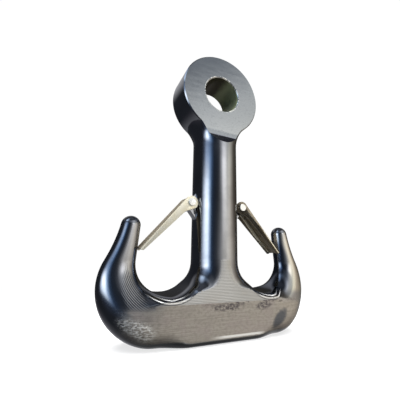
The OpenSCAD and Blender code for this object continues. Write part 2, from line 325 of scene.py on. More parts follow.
class Shader:
    """A small builder for node trees: values and sockets go in, sockets come out."""

    def __init__(self, name: str) -> None:
        """Starts an empty material with its output and its Principled shader."""
        self.material = bpy.data.materials.new(name)
        self.material.use_nodes = True
        self.tree = self.material.node_tree
        self.tree.nodes.clear()
        self.output = self.tree.nodes.new("ShaderNodeOutputMaterial")
        self.surface = self.tree.nodes.new("ShaderNodeBsdfPrincipled")
        self.tree.links.new(self.surface.outputs[0], self.output.inputs[0])
        self.where = self.tree.nodes.new("ShaderNodeTexCoord").outputs["Object"]

    def put(self, socket: bpy.types.NodeSocket, value: object) -> None:
        """Links a socket or sets a plain value."""
        if isinstance(value, bpy.types.NodeSocket):
            self.tree.links.new(value, socket)
        elif isinstance(value, tuple) and len(value) == 3 and socket.type == "RGBA":
            socket.default_value = (*value, 1.0)
        else:
            socket.default_value = value

    def node(self, kind: str, inputs: dict, **settings: object) -> bpy.types.Node:
        """Adds a node.

        Args:
            kind: The node's type.
            inputs: Values or sockets by input name or number.
            settings: Properties of the node.

        Returns:
            The node.
        """
        made = self.tree.nodes.new(kind)
        for key, value in settings.items():
            setattr(made, key, value)
        for key, value in inputs.items():
            self.put(made.inputs[key], value)
        return made

    def math(self, operation: str, a: object, b: object = 0.0, c: object = 0.0) -> bpy.types.NodeSocket:
        """One step of arithmetic."""
        return self.node("ShaderNodeMath", {0: a, 1: b, 2: c}, operation=operation).outputs[0]

    def step(self, value: object, low: float, high: float, from_: float = 0.0,
             to: float = 1.0) -> bpy.types.NodeSocket:
        """A smooth step from one value to another as the input goes from low to high."""
        made = self.node(
            "ShaderNodeMapRange", {0: value, 1: low, 2: high, 3: from_, 4: to},
            interpolation_type="SMOOTHSTEP")
        return made.outputs[0]

    def stretched(self, scale: Sequence[float]) -> bpy.types.NodeSocket:
        """Object coordinates scaled by a factor along each axis."""
        return self.node("ShaderNodeMapping", {0: self.where, 3: tuple(scale)}).outputs[0]

    def noise(self, scale: Sequence[float], detail: float = 3.0,
              roughness: float = 0.55) -> bpy.types.NodeSocket:
        """Noise with a scale of its own along each axis, in turns a metre."""
        made = self.node(
            "ShaderNodeTexNoise",
            {"Vector": self.stretched(scale), "Scale": 1.0, "Detail": detail, "Roughness": roughness})
        return made.outputs[0]

    def all_of(self, *shares: object) -> bpy.types.NodeSocket:
        """Where all of some shares are high."""
        made = shares[0]
        for share in shares[1:]:
            made = self.math("MULTIPLY", made, share)
        return made

    def blend(self, share: object, a: object, b: object) -> bpy.types.NodeSocket:
        """A colour a share of the way from a to b."""
        made = self.node("ShaderNodeMix", {0: share, 6: a, 7: b}, data_type="RGBA")
        return made.outputs[2]

    def bump(self, height: object, strength: float, distance: float,
             under: object = None) -> bpy.types.NodeSocket:
        """Turns a height into a normal, on top of another normal."""
        inputs = {"Height": height, "Strength": strength, "Distance": distance}
        if under is not None:
            inputs["Normal"] = under
        return self.node("ShaderNodeBump", inputs).outputs[0]

    def finish(self, **sockets: object) -> bpy.types.Material:
        """Sets the Principled shader's inputs by name and returns the material."""
        for key, value in sockets.items():
            self.put(self.surface.inputs[key.replace("_", " ").title().replace("Ior", "IOR")], value)
        return self.material


@dataclass(frozen=True)
class Patch:
    """A ragged oval on the front and back faces, in millimetres."""

    centre: Point
    size: Point
    lean: float = 0.0

    def mask(self, s: Shader, x: object, z: object, ragged: object) -> bpy.types.NodeSocket:
        """How much of the patch is at a place.

        Args:
            s: The tree it goes in.
            x: Where along the base.
            z: Height.
            ragged: Noise round 0.5 that eats into its edge.

        Returns:
            1 in the patch and 0 outside it.
        """
        up = s.math("SUBTRACT", z, self.centre[1] * MM)
        along = s.math("SUBTRACT", x, self.centre[0] * MM)
        along = s.math("SUBTRACT", along, s.math("MULTIPLY", up, self.lean))
        a = s.math("POWER", s.math("ABSOLUTE", s.math("DIVIDE", along, self.size[0] * MM)), 2.0)
        b = s.math("POWER", s.math("ABSOLUTE", s.math("DIVIDE", up, self.size[1] * MM)), 2.0)
        fray = s.math("MULTIPLY", s.math("SUBTRACT", ragged, 0.5), 3.0)
        return s.step(s.math("ADD", s.math("ADD", a, b), fray), 0.3, 1.5, 1.0, 0.0)


@dataclass(frozen=True)
class PolishedForging:
    """Dark polished alloy steel with a ground foot, a milled root, rougher eye flats and a dark-to-green
    bore, with painted highlights, shade and reflections.
    """

    name: str = "polished_forging"
    polished: Colour = (0.335, 0.345, 0.375)
    milled: Colour = (0.46, 0.465, 0.47)
    ground: Colour = (0.37, 0.345, 0.315)
    warm: Colour = (0.36, 0.31, 0.31)
    stain: Colour = (0.085, 0.075, 0.085)
    # Colour of the painted shade in the valleys of the turned rings.
    groove: Colour = (0.06, 0.06, 0.07)
    # Colour of the painted shade lines on the bowls' lips.
    lip_dark: Colour = (0.05, 0.05, 0.055)
    # Colour of a painted navy reflection.
    blued: Colour = (0.050, 0.062, 0.085)
    # Colour of a painted dark reflection.
    smoked: Colour = (0.10, 0.12, 0.16)
    # Colour of the painted highlights: the glint, the foot line, the ring crests, the lip lines and the bore
    # rim.
    bright: Colour = (0.72, 0.71, 0.68)
    # Colour of the painted light strip on the outside of the right bend.
    worn: Colour = (0.52, 0.51, 0.48)
    # Painted shade and painted light for the eye flats; the shade colour also carries their mottling.
    eye_dull: Colour = (0.17, 0.185, 0.205)
    eye_light: Colour = (0.45, 0.465, 0.475)
    oil_dark: Colour = (0.035, 0.028, 0.010)
    oil_green: Colour = (0.30, 0.34, 0.20)
    step_over: float = 0.0022
    # Where the painted glint goes.
    scratched: Patch = Patch((-116, 27), (17, 13), -0.8)
    heat_mark: Patch = Patch((88, 25), (11, 13), 0.7)
    side_blot: Patch = Patch((60, 45), (13, 5.5), 1.0)
    middle_blot: Patch = Patch((2, 46), (26, 5.0))

    def ring(self, s: Shader, out: object, at: float, half: float) -> bpy.types.NodeSocket:
        """A thin line at one distance from a bowl's edge, in millimetres."""
        off = s.math("ABSOLUTE", s.math("SUBTRACT", out, at * MM))
        return s.step(off, 0.4 * half * MM, half * MM, 1.0, 0.0)

    def places(self, s: Shader, bowl: Point, bowl_r: float, eye_z: float) -> SimpleNamespace:
        """The places, directions and noises that the finish is worked out from.

        Args:
            s: The tree they go in.
            bowl: Centre of the right bowl in millimetres.
            bowl_r: Radius of the bowls.
            eye_z: Height of the eye.

        Returns:
            The sockets by name.
        """
        xyz = s.node("ShaderNodeSeparateXYZ", {0: s.where})
        x, y, z = xyz.outputs[0], xyz.outputs[1], xyz.outputs[2]
        normal = s.node("ShaderNodeSeparateXYZ", {0: s.node("ShaderNodeNewGeometry", {}).outputs["Normal"]})
        across = s.math("ABSOLUTE", x)
        dx = s.math("SUBTRACT", across, bowl[0] * MM)
        dz = s.math("SUBTRACT", z, bowl[1] * MM)
        far = s.math("SQRT", s.math("ADD", s.math("MULTIPLY", dx, dx), s.math("MULTIPLY", dz, dz)))
        axial = s.math("SUBTRACT", z, eye_z * MM)
        from_eye = s.math("SQRT", s.math("ADD", s.math("MULTIPLY", x, x), s.math("MULTIPLY", axial, axial)))
        return SimpleNamespace(
            x=x, z=z, across=across, through=s.math("ABSOLUTE", y), axial=axial, from_eye=from_eye,
            facing=s.math("ABSOLUTE", normal.outputs[1]), out=s.math("SUBTRACT", far, bowl_r * MM),
            cloud=s.noise((26, 26, 34), 4.0, 0.6), smear=s.noise((40, 40, 150), 4.0, 0.65),
            streak=s.noise((22, 22, 900), 4.0, 0.6), mottle=s.noise((210, 210, 300), 3.0, 0.6),
            speck=s.noise((900, 900, 900), 2.0, 0.6), scratch=s.noise((260, 260, 620), 3.0, 0.7),
            wobble=s.noise((60, 60, 60), 2.0))

    def base_zones(self, s: Shader, m: SimpleNamespace, milled_from: float, milled_to: float) -> None:
        """Adds where the base, the root and the bends have each finish, the dark blots, the painted glint,
        the painted navy reflection and the painted foot highlight.

        Args:
            s: The tree.
            m: The places, which the zones are added to.
            milled_from: Height where the milled face starts, in millimetres.
            milled_to: Height where it runs out on the shank.
        """
        below_top = s.step(m.z, (milled_to - 3) * MM, (milled_to + 1) * MM, 1.0, 0.0)
        above_seam = s.step(m.z, (milled_from - 0.5) * MM, (milled_from + 0.5) * MM)
        under_seam = s.math("SUBTRACT", 1.0, above_seam)
        m.milled = s.all_of(s.step(m.facing, 0.955, 0.99), s.step(m.through, 0.0325, 0.0345), below_top,
                            above_seam)
        frayed = s.math("ADD", m.across, s.math("MULTIPLY", s.math("SUBTRACT", m.smear, 0.5), 0.030))
        foot = s.all_of(s.step(m.facing, 0.50, 0.86), s.step(frayed, 0.122, 0.146, 1.0, 0.0),
                        s.step(m.z, (milled_from - 8) * MM, (milled_from + 2) * MM, 1.0, 0.0),
                        s.step(m.z, 0.0075, 0.011))
        band = s.all_of(s.step(m.facing, 0.93, 0.985), under_seam, s.step(m.through, 0.035, 0.037))
        m.ground = s.math("MAXIMUM", foot, band)
        # A painted glint, broken into streaks, on the lower left corner.
        m.glint = s.all_of(s.step(m.facing, 0.45, 0.85), self.scratched.mask(s, m.x, m.z, m.cloud),
                           s.step(m.scratch, 0.42, 0.62))
        # A painted navy reflection patch on the lower right corner.
        m.blue = s.all_of(s.step(m.facing, 0.3, 0.5), self.heat_mark.mask(s, m.x, m.z, m.cloud))
        # Dark blots on the ground faces, and a dark band just under the seam on the left.
        seam_dirt = s.all_of(s.step(m.z, (milled_from - 6) * MM, (milled_from - 2) * MM), under_seam,
                             s.step(m.smear, 0.50, 0.60), s.step(m.x, -0.045, -0.015))
        blots = s.math("MAXIMUM", self.side_blot.mask(s, m.x, m.z, m.smear), seam_dirt)
        blots = s.math("MAXIMUM", blots, self.middle_blot.mask(s, m.x, m.z, m.smear))
        m.blots = s.all_of(blots, m.ground, s.step(m.mottle, 0.36, 0.56))
        # A painted highlight line near the foot's bottom edge, from the middle to the right.
        m.foot_line = s.all_of(s.step(m.z, 0.0075, 0.0088), s.step(m.z, 0.0105, 0.0120, 1.0, 0.0),
                               s.step(m.facing, 0.25, 0.5), s.step(m.x, -0.03, 0.0),
                               s.step(m.x, 0.050, 0.068, 1.0, 0.0))

    def bend_zones(self, s: Shader, m: SimpleNamespace, bowl: Point) -> None:
        """Adds the turned rings on the left bend, the painted light strip and painted dark reflection on the
        right bend, and the painted highlight and shade lines round the bowls' front lips.
        """
        reached = s.math("ADD", m.out, s.math("MULTIPLY", s.math("SUBTRACT", m.z, 0.086), 0.4))
        reached = s.math("SUBTRACT", reached, 0.014)
        outer = s.all_of(s.step(m.across, (bowl[0] + 2) * MM, (bowl[0] + 12) * MM), s.step(m.z, 0.046, 0.054),
                         s.step(m.z, 0.085, 0.105, 1.0, 0.0))
        m.grooved = s.all_of(outer, s.step(m.x, -0.11, -0.10, 1.0, 0.0), s.step(m.out, 0.009, 0.013),
                             s.step(reached, 0.0, 0.008, 1.0, 0.0), s.step(m.facing, 0.6, 0.8))
        right_bend = s.all_of(s.step(m.x, 0.045, 0.055), s.step(m.z, 0.056, 0.066))
        # Painted dark reflection on the inside of the right bend, next to the bowl.
        m.inner_dark = s.all_of(right_bend, s.step(m.out, 0.010, 0.015, 1.0, 0.0))
        # A painted light strip on the outer part of the right bend, below the arm.
        m.worn = s.all_of(right_bend, s.step(m.out, 0.012, 0.018), s.step(m.facing, 0.3, 0.6),
                          s.step(m.z, 0.135, 0.16, 1.0, 0.0))
        lip = s.all_of(s.step(m.facing, 0.30, 0.55), s.step(m.z, 0.055, 0.066, 1.0, 0.0),
                       s.step(m.across, 0.045, 0.055))
        # Painted highlight lines and painted shade lines round the bowls' front lips, at set distances from
        # the edge.
        light = s.math("MAXIMUM", self.ring(s, m.out, 3.4, 0.75), self.ring(s, m.out, 7.0, 0.7))
        dark = s.math("MAXIMUM", self.ring(s, m.out, 5.2, 0.8), self.ring(s, m.out, 9.0, 0.5))
        m.light_line = s.all_of(light, lip, s.step(m.smear, 0.30, 0.45))
        m.dark_line = s.all_of(dark, lip)

    def eye_zones(self, s: Shader, m: SimpleNamespace, bore_r: float) -> None:
        """Adds the eye's flats, its bore and the painted highlight on the bore's rim."""
        m.eye_flat = s.all_of(s.step(m.facing, 0.975, 0.992), s.step(m.z, 0.2945, 0.2965))
        m.bore = s.step(m.from_eye, (bore_r + 0.2) * MM, (bore_r + 0.7) * MM, 1.0, 0.0)
        # A painted highlight round the bore's chamfer.
        m.bore_rim = s.all_of(s.step(m.from_eye, (bore_r + 2.4) * MM, (bore_r + 2.8) * MM, 1.0, 0.0),
                              s.math("SUBTRACT", 1.0, m.bore), s.step(m.mottle, 0.46, 0.56))

    def cutter_marks(self, s: Shader, m: SimpleNamespace) -> None:
        """Adds the waves left by turning round the left bowl and by milling the root in rows."""
        turn = 2 * math.pi / self.step_over
        m.ring_wave = s.math("SINE", s.math("ADD", s.math("MULTIPLY", m.out, turn),
                                            s.math("MULTIPLY", m.wobble, 2.0)))
        m.row_wave = s.math("SINE", s.math("ADD", s.math("MULTIPLY", m.z, 1.15 * turn),
                                           s.math("MULTIPLY", m.wobble, 2.4)))

    def base_colour(self, s: Shader, m: SimpleNamespace) -> bpy.types.NodeSocket:
        """The colour of everything but the eye, with the painted highlights, shade and reflections."""
        tone = s.blend(s.step(m.cloud, 0.35, 0.7), self.polished, tinted(self.polished, 0.84))
        ground = s.blend(s.step(m.streak, 0.3, 0.7), tinted(self.ground, 0.84), tinted(self.ground, 1.14))
        ground = s.blend(s.math("MULTIPLY", s.step(m.mottle, 0.44, 0.62), 0.40), ground,
                         tinted(self.ground, 0.62))
        ground = s.blend(s.math("MULTIPLY", s.step(m.cloud, 0.48, 0.62), 0.30), ground, self.warm)
        milled = s.blend(s.step(m.row_wave, -0.6, 0.9), tinted(self.milled, 0.74), self.milled)
        milled = s.blend(s.math("MULTIPLY", s.step(m.x, -0.01, 0.03), 0.5), milled, tinted(self.milled, 0.66))
        milled = s.blend(s.math("MULTIPLY", s.step(m.cloud, 0.5, 0.7), 0.3), milled, self.ground)
        colour = s.blend(m.ground, tone, ground)
        colour = s.blend(m.milled, colour, milled)
        colour = s.blend(s.math("MULTIPLY", m.glint, 0.95), colour, self.bright)
        colour = s.blend(m.worn, colour, self.worn)
        colour = s.blend(s.math("MULTIPLY", m.inner_dark, 0.75), colour, self.smoked)
        colour = s.blend(s.math("MULTIPLY", m.blue, 0.8), colour, self.blued)
        colour = s.blend(m.foot_line, colour, self.bright)
        colour = s.blend(s.math("MULTIPLY", m.blots, 0.85), colour, self.stain)
        # Painted shade in the valleys and a painted highlight on the crests of the turned rings on the left
        # bend.
        valley = s.all_of(m.grooved, s.step(m.ring_wave, -0.3, 0.5, 1.0, 0.0), 0.8)
        crest = s.all_of(m.grooved, s.step(m.ring_wave, 0.2, 0.9), 0.6)
        colour = s.blend(crest, s.blend(valley, colour, self.groove), self.bright)
        colour = s.blend(m.dark_line, colour, self.lip_dark)
        return s.blend(m.light_line, colour, self.bright)

    def eye_colour(self, s: Shader, m: SimpleNamespace, colour: object) -> bpy.types.NodeSocket:
        """The same colour with painted light and shade on the eye flats, the dark-to-green bore and the
        painted highlight on the bore's rim.
        """
        # Painted shade at the eye flats' upper left and painted light at their lower right, with mottling
        # towards the shade colour.
        slant = s.math("ADD", s.math("MULTIPLY", m.x, 0.5), s.math("MULTIPLY", m.axial, -0.85))
        slant = s.math("ADD", slant, s.math("MULTIPLY", s.math("SUBTRACT", m.smear, 0.5), 0.05))
        flat = s.blend(s.step(slant, -0.068, 0.028), self.eye_dull, self.eye_light)
        flat = s.blend(s.math("MULTIPLY", s.step(m.mottle, 0.55, 0.72), 0.25), flat, self.eye_dull)
        # The bore is dark on the left and olive green on the right.
        streaked = s.math("ADD", m.x, s.math("MULTIPLY", m.smear, 0.012))
        oil = s.blend(s.step(streaked, 0.010, 0.026), self.oil_dark, self.oil_green)
        colour = s.blend(m.bore, s.blend(m.eye_flat, colour, flat), oil)
        return s.blend(m.bore_rim, colour, self.bright)

    def roughness(self, s: Shader, m: SimpleNamespace) -> bpy.types.NodeSocket:
        """Glossy where polished, duller where milled, ground or turned, on the eye flats and the bore, and
        under the painted glint and lip highlights.
        """
        rough = s.math("ADD", 0.085, s.math("MULTIPLY", m.cloud, 0.09))
        rough = s.math("ADD", rough, s.math("MULTIPLY", m.milled, 0.18))
        brushed = s.math("ADD", 0.10, s.math("MULTIPLY", m.streak, 0.42))
        rough = s.math("ADD", rough, s.math("MULTIPLY", m.ground, brushed))
        rough = s.math("ADD", rough, s.math("MULTIPLY", m.eye_flat, 0.12))
        cut = s.math("MAXIMUM", m.grooved, m.light_line)
        cut = s.math("MAXIMUM", cut, s.math("MAXIMUM", m.bore, m.glint))
        return s.math("ADD", rough, s.math("MULTIPLY", cut, 0.22))

    def metal(self, s: Shader, m: SimpleNamespace) -> bpy.types.NodeSocket:
        """All metal, less a share on the bore and the ground faces, and under the painted highlights of the
        lip lines, bore rim, glint and foot so that their colour shows.
        """
        rims = s.math("MULTIPLY", s.math("MAXIMUM", m.light_line, m.bore_rim), 0.6)
        dull = s.math("MAXIMUM", s.math("MULTIPLY", m.bore, 0.65), rims)
        # The painted glint and foot highlight are partly not metal, so that their bright colour shows.
        worn = s.math("MAXIMUM", s.math("MULTIPLY", m.glint, 0.4), s.math("MULTIPLY", m.foot_line, 0.7))
        dull = s.math("MAXIMUM", dull, worn)
        return s.math("SUBTRACT", 1.0, s.math("MAXIMUM", dull, s.math("MULTIPLY", m.ground, 0.15)))

    def relief(self, s: Shader, m: SimpleNamespace) -> bpy.types.NodeSocket:
        """The normal with cutter marks, brush marks and a fine unevenness."""
        rows = s.math("MULTIPLY", m.row_wave, m.milled)
        rings = s.math("MULTIPLY", m.ring_wave, m.grooved)
        marks = s.bump(s.math("ADD", s.math("MULTIPLY", rings, 1.6), rows), 0.5, 0.00013)
        share = s.math("ADD", m.ground, s.math("MULTIPLY", m.milled, 0.3))
        brush = s.bump(s.math("MULTIPLY", m.streak, share), 0.5, 0.0004, marks)
        fine = s.math("ADD", s.math("MULTIPLY", m.speck, 0.7),
                      s.math("MULTIPLY", m.mottle, s.math("MULTIPLY", m.ground, 3.0)))
        return s.bump(s.math("ADD", fine, s.math("MULTIPLY", m.cloud, 2.2)), 0.25, 0.00008, brush)

    def build(self, bowl: Point, bowl_r: float, milled_from: float, milled_to: float, eye_z: float,
              bore_r: float) -> bpy.types.Material:
        """Makes the material.

        Args:
            bowl: Centre of the right bowl in millimetres.
            bowl_r: Radius of the bowls.
            milled_from: Height where the milled face starts.
            milled_to: Height where it runs out on the shank.
            eye_z: Height of the eye.
            bore_r: Radius of the bore.

        Returns:
            The material.
        """
        s = Shader(self.name)
        m = self.places(s, bowl, bowl_r, eye_z)
        self.base_zones(s, m, milled_from, milled_to)
        self.bend_zones(s, m, bowl)
        self.eye_zones(s, m, bore_r)
        self.cutter_marks(s, m)
        colour = self.eye_colour(s, m, self.base_colour(s, m))
        return s.finish(base_color=colour, metallic=self.metal(s, m), roughness=self.roughness(s, m),
                        normal=self.relief(s, m))


@dataclass(frozen=True)
class PlatedMetal:
    """A plated metal with faint clouds in its colour and gloss, and if wanted a painted shade on the faces
    that turn side-on.
    """

    name: str
    colour: Colour
    cloud: Colour
    roughness: float = 0.3
    metal: float = 1.0
    grain: tuple[float, float, float] = (300.0, 300.0, 300.0)
    edge_on: Optional[Colour] = None

    def build(self) -> bpy.types.Material:
        """Makes the material."""
        s = Shader(self.name)
        patch = s.noise((70, 70, 70), 4.0, 0.6)
        grain = s.noise(self.grain, 3.0, 0.6)
        colour = s.blend(s.step(patch, 0.35, 0.7), self.colour, self.cloud)
        # Painted shade on faces that turn side-on, such as the gate's web and edges.
        if self.edge_on:
            geometry = s.node("ShaderNodeNewGeometry", {})
            turned = s.node("ShaderNodeSeparateXYZ", {0: geometry.outputs["Normal"]})
            side_on = s.step(s.math("ABSOLUTE", turned.outputs[1]), 0.75, 0.98, 1.0, 0.0)
            colour = s.blend(side_on, colour, self.edge_on)
        rough = s.math("ADD", self.roughness - 0.06, s.math("MULTIPLY", grain, 0.14))
        normal = s.bump(s.math("ADD", grain, patch), 0.15, 0.00005)
        return s.finish(base_color=colour, metallic=self.metal, roughness=rough, normal=normal)


@dataclass(frozen=True)
class PaleFloor:
    """A matt, nearly white studio floor."""

    name: str = "pale_floor"
    colour: Colour = (0.93, 0.93, 0.93)

    def build(self) -> bpy.types.Material:
        """Makes the material."""
        s = Shader(self.name)
        shade = s.blend(s.noise((3, 3, 3), 1.0), self.colour, tinted(self.colour, 0.995))
        s.finish(base_color=shade, roughness=0.9)
        glow = s.node("ShaderNodeEmission", {0: (1.0, 1.0, 1.0), 1: 1.02})
        away = s.node("ShaderNodeVectorMath", {0: s.where}, operation="LENGTH").outputs["Value"]
        fade = s.node("ShaderNodeMixShader", {0: s.step(away, 0.1, 0.8, 0.72, 1.0), 1: s.surface.outputs[0],
                                              2: glow.outputs[0]})
        s.put(s.output.inputs[0], fade.outputs[0])
        return s.material


def dress(piece: bpy.types.Object, material: bpy.types.Material) -> None:
    """Gives a piece one material."""
    piece.data.materials.clear()
    piece.data.materials.append(material)


# ---- the forging -------------------------------------------------------------------------------


@dataclass
class Station:
    """One place on the forging's outline and the section that starts there, in millimetres."""

    edge: Point
    spine: Point
    half_t: float
    round_in: float
    round_through: float
    cut: float = 0.0

    def flipped(self) -> "Station":
        """The same station on the left side."""
        return replace(self, edge=(-self.edge[0], self.edge[1]), spine=(-self.spine[0], self.spine[1]))


def round_station(edge: Point, spine: Point, half_t: float) -> Station:
    """A station whose section is fully round."""
    return Station(edge, spine, half_t, math.dist(edge, spine), half_t)


@dataclass
class HookForging:
    """The one-piece forging: eye, neck, shank, base and two arms. Sizes are in millimetres."""

    shank_r: float = 35.0
    eye_z: float = 370.4
    eye_r: float = 67.3
    eye_t: float = 53.0
    eye_chamfer: float = 1.5
    bore_r: float = 29.5
    bore_chamfer: float = 1.6
    neck_fillet_r: float = 50.0
    ramp_h: float = 13.0
    bowl_r: float = 41.0
    bowl_z: float = 102.0
    base_half_t: float = 38.0
    corner_r: float = 72.0
    corner_x: float = 92.0
    corner_end_a: float = 27.0
    hollow_r: float = 195.0
    hollow_turn: float = 15.0
    tip_r: float = 13.0
    arm_half_t: float = 14.5
    foot_edge_r: float = 10.0
    bowl_edge_r: float = 20.0
    root_edge_r: float = 30.0
    edge_cut: float = 8.0
    corner_edge_r: float = 26.0
    edge_from_x: float = 50.0
    cut_from: float = 0.6
    milled_from: float = 52.0
    milled_to: float = 108.0
    root_a: float = -130.0
    bowl_start_a: float = 6.0
    ball_in_a: float = 176.0
    pivot: Point = (43.5, 188.0)
    lug_w: float = 12.0
    lug_r: float = 7.2
    rows_round: int = 18
    rows_flat: int = 4
    finish: PolishedForging = field(default_factory=PolishedForging)

    # driven places

    @property
    def bowl_c(self) -> Point:
        """Centre of the right bowl."""
        return self.shank_r + self.bowl_r, self.bowl_z

    @property
    def corner_c(self) -> Point:
        """Centre of the big right corner."""
        return self.corner_x, self.corner_r

    @property
    def hollow_c(self) -> Point:
        """Centre of the hollow outside the right arm."""
        return on_arc(self.corner_c, self.corner_r + self.hollow_r, self.corner_end_a)

    @property
    def ball_c(self) -> Point:
        """Centre of the right tip."""
        end = on_arc(self.hollow_c, self.hollow_r, 180 + self.corner_end_a - self.hollow_turn)
        return on_arc(end, -self.tip_r, self.corner_end_a - self.hollow_turn)

    @property
    def neck_from(self) -> float:
        """Height where the neck starts to flare."""
        reach = self.eye_r + self.neck_fillet_r
        side = self.shank_r + self.neck_fillet_r
        return self.eye_z - math.sqrt(reach * reach - side * side)

    @property
    def spine_z(self) -> float:
        """Height of the base's spine."""
        return (self.bowl_z - self.bowl_r) / 2

    @property
    def neck_low(self) -> float:
        """Height where the front of the neck starts to widen."""
        return self.neck_from - 18

    def flared(self, x: float, y: float, z: float) -> float:
        """Half width of the neck, where every slice has its own fillet to the eye's rim.

        Args:
            x: Half width of the round shank at this depth.
            y: Depth from the parting plane.
            z: Height.

        Returns:
            The half width with the fillet.
        """
        disc_r = self.eye_r - 0.5 - min(self.eye_chamfer, max(0.0, y - self.eye_t / 2 + self.eye_chamfer))
        r = self.neck_fillet_r
        rise = math.sqrt((disc_r + r) ** 2 - (x + r) ** 2)
        up = z - self.eye_z + rise
        wide = x + r - math.sqrt(r * r - min(max(0.0, up), 0.98 * r) ** 2)
        if up > r * rise / (disc_r + r):
            wide = min(wide, math.sqrt(disc_r ** 2 - (self.eye_z - z) ** 2))
        fade = (self.shank_r - y) / (self.shank_r - self.eye_t / 2)
        return mix(x, wide, min(1.0, max(0.0, fade)))

    def face_at(self, z: float) -> float:
        """Half thickness of the front face at a height: the milled part leans back to the shank."""
        lean = (z - self.milled_from) / (self.milled_to - self.milled_from)
        return mix(self.base_half_t, self.shank_r, min(1.0, max(0.0, lean)))

    # stations of the right side

    def bend_out(self, u: float) -> Point:
        """Outline of the big corner, from the arm (0) to the foot (1)."""
        return on_arc(self.corner_c, self.corner_r, mix(self.corner_end_a, -90, u))

    def bend_in(self, u: float) -> Point:
        """Outline of the outer half of the bowl, from the arm (0) to its floor (1)."""
        return on_arc(self.bowl_c, self.bowl_r, mix(self.bowl_start_a, -90, u))

    def arm_out(self, v: float) -> Point:
        """Outer outline of the arm, from the tip (0) down."""
        low = 180 + self.corner_end_a
        return on_arc(self.hollow_c, self.hollow_r, mix(low - self.hollow_turn, low, v))

    def arm_in(self, v: float) -> Point:
        """Inner outline of the arm, from the tip (0) down."""
        a, b = on_arc(self.ball_c, self.tip_r, self.ball_in_a), self.bend_in(0)
        return mix(a[0], b[0], v), mix(a[1], b[1], v)

    def bend(self, edge: Point, u: float, edge_r: float, start: float, cut: float = 0.0) -> Station:
        """A station round the bend of the arm.

        Args:
            edge: The outline point.
            u: Share of the bend, from the arm (0) to the foot or the bowl's floor (1).
            edge_r: Edge radius at the end of the bend.
            start: Share at which the full rounding starts to tighten.
            cut: How much of the rounding the flat face cuts off at the end of the bend.

        Returns:
            The station.
        """
        spine = middle(self.bend_out(u), self.bend_in(u))
        half_t = mix(self.arm_half_t, self.base_half_t, math.sin(math.pi / 2 * u) ** 1.6)
        w = ease((u - start) / (1 - start))
        return Station(edge, spine, half_t, mix(math.dist(edge, spine), edge_r, w), mix(half_t, edge_r, w),
                       cut * ease((u - self.cut_from) / (1 - self.cut_from)))

    def right_side(self) -> list[Station]:
        """All stations of the right side, from the middle of the foot round to the neck."""
        n_base, n_bend, n_arm, n_ball, n_root, n_shank, n_neck = 14, 46, 16, 28, 26, 36, 26
        floor_x = middle(self.bend_out(1), self.bend_in(1))[0]
        arm = [k / n_arm for k in range(1, n_arm + 1)]
        bends = [k / n_bend for k in range(1, n_bend + 1)]
        made = []
        for k in range(n_base):
            x = self.corner_x * k / n_base
            swell = ease(max(0.0, (x - self.edge_from_x) / (self.corner_x - self.edge_from_x)))
            r = mix(self.foot_edge_r, self.corner_edge_r, swell)
            made.append(Station((x, 0), (floor_x * k / n_base, self.spine_z), self.base_half_t, r, r))
        made += [self.bend(self.bend_out(u), u, self.corner_edge_r, 0.4) for u in reversed(bends)]

        def arm_station(v: float, edge: Callable[[float], Point]) -> Station:
            """A round station on the straight part of the arm."""
            return round_station(edge(v), middle(self.arm_out(v), self.arm_in(v)),
                                 mix(self.tip_r, self.arm_half_t, v))

        made += [arm_station(v, self.arm_out) for v in reversed(arm)]
        first = self.corner_end_a - self.hollow_turn
        made += [round_station(on_arc(self.ball_c, self.tip_r, mix(first, self.ball_in_a, k / n_ball)),
                               self.ball_c, self.tip_r) for k in range(n_ball + 1)]
        made += [arm_station(v, self.arm_in) for v in arm]
        made += [self.bend(self.bend_in(u), u, self.bowl_edge_r, 0.35, self.edge_cut) for u in bends]
        for k in range(n_base - 1, -1, -1):
            r = mix(self.root_edge_r, self.bowl_edge_r, k / n_base)
            edge = on_arc(self.bowl_c, self.bowl_r, mix(self.root_a, -90, k / n_base))
            made.append(Station(edge, (floor_x * k / n_base, self.spine_z), self.base_half_t, r, r,
                                self.edge_cut))
        for k in range(1, n_root + 1):
            u = k / n_root
            w = ease(u)
            edge = on_arc(self.bowl_c, self.bowl_r, mix(self.root_a, -180, u))
            z, r = mix(self.spine_z, self.bowl_z, u), mix(self.root_edge_r, self.shank_r, w)
            made.append(Station(edge, (0, z), self.face_at(z), r, r, self.edge_cut * (1 - w) ** 4))
        for k in range(1, n_shank + 1):
            z = mix(self.bowl_z, self.neck_low, k / n_shank)
            made.append(round_station((self.shank_r, z), (0, z), self.face_at(z)))
        for k in range(1, n_neck + 1):
            z = mix(self.neck_low, self.neck_from + 38, k / n_neck)
            made.append(round_station((self.shank_r, z), (0, z), self.shank_r))
        return made

    def section(self, station: Station) -> list[Vector]:
        """Points of a station's front section, from the parting plane to the spine, in metres.

        Args:
            station: The station.

        Returns:
            The points, before the milled face is cut.
        """
        (ex, ez), (sx, sz) = station.edge, station.spine
        deep = math.dist(station.edge, station.spine)
        ux, uz = (sx - ex) / deep, (sz - ez) / deep
        depths = [(0.0, 0.0)]
        for j in range(self.rows_round + 1):
            a = math.pi / 2 * j / self.rows_round
            y = station.half_t + station.cut - station.round_through * (1 - math.sin(a))
            depths.append((station.round_in * (1 - math.cos(a)), min(y, station.half_t)))
        inner = min(station.round_in, deep)
        for j in range(1, self.rows_flat + 1):
            depths.append((mix(inner, deep, j / self.rows_flat), station.half_t))
        points = []
        for d, y in depths:
            d = min(d, deep)
            x, z = ex + ux * d, ez + uz * d
            if z > self.neck_low:
                x = math.copysign(self.flared(abs(x), y, z), ex)
            points.append(Vector((x, -y, z)) * MM)
        return points

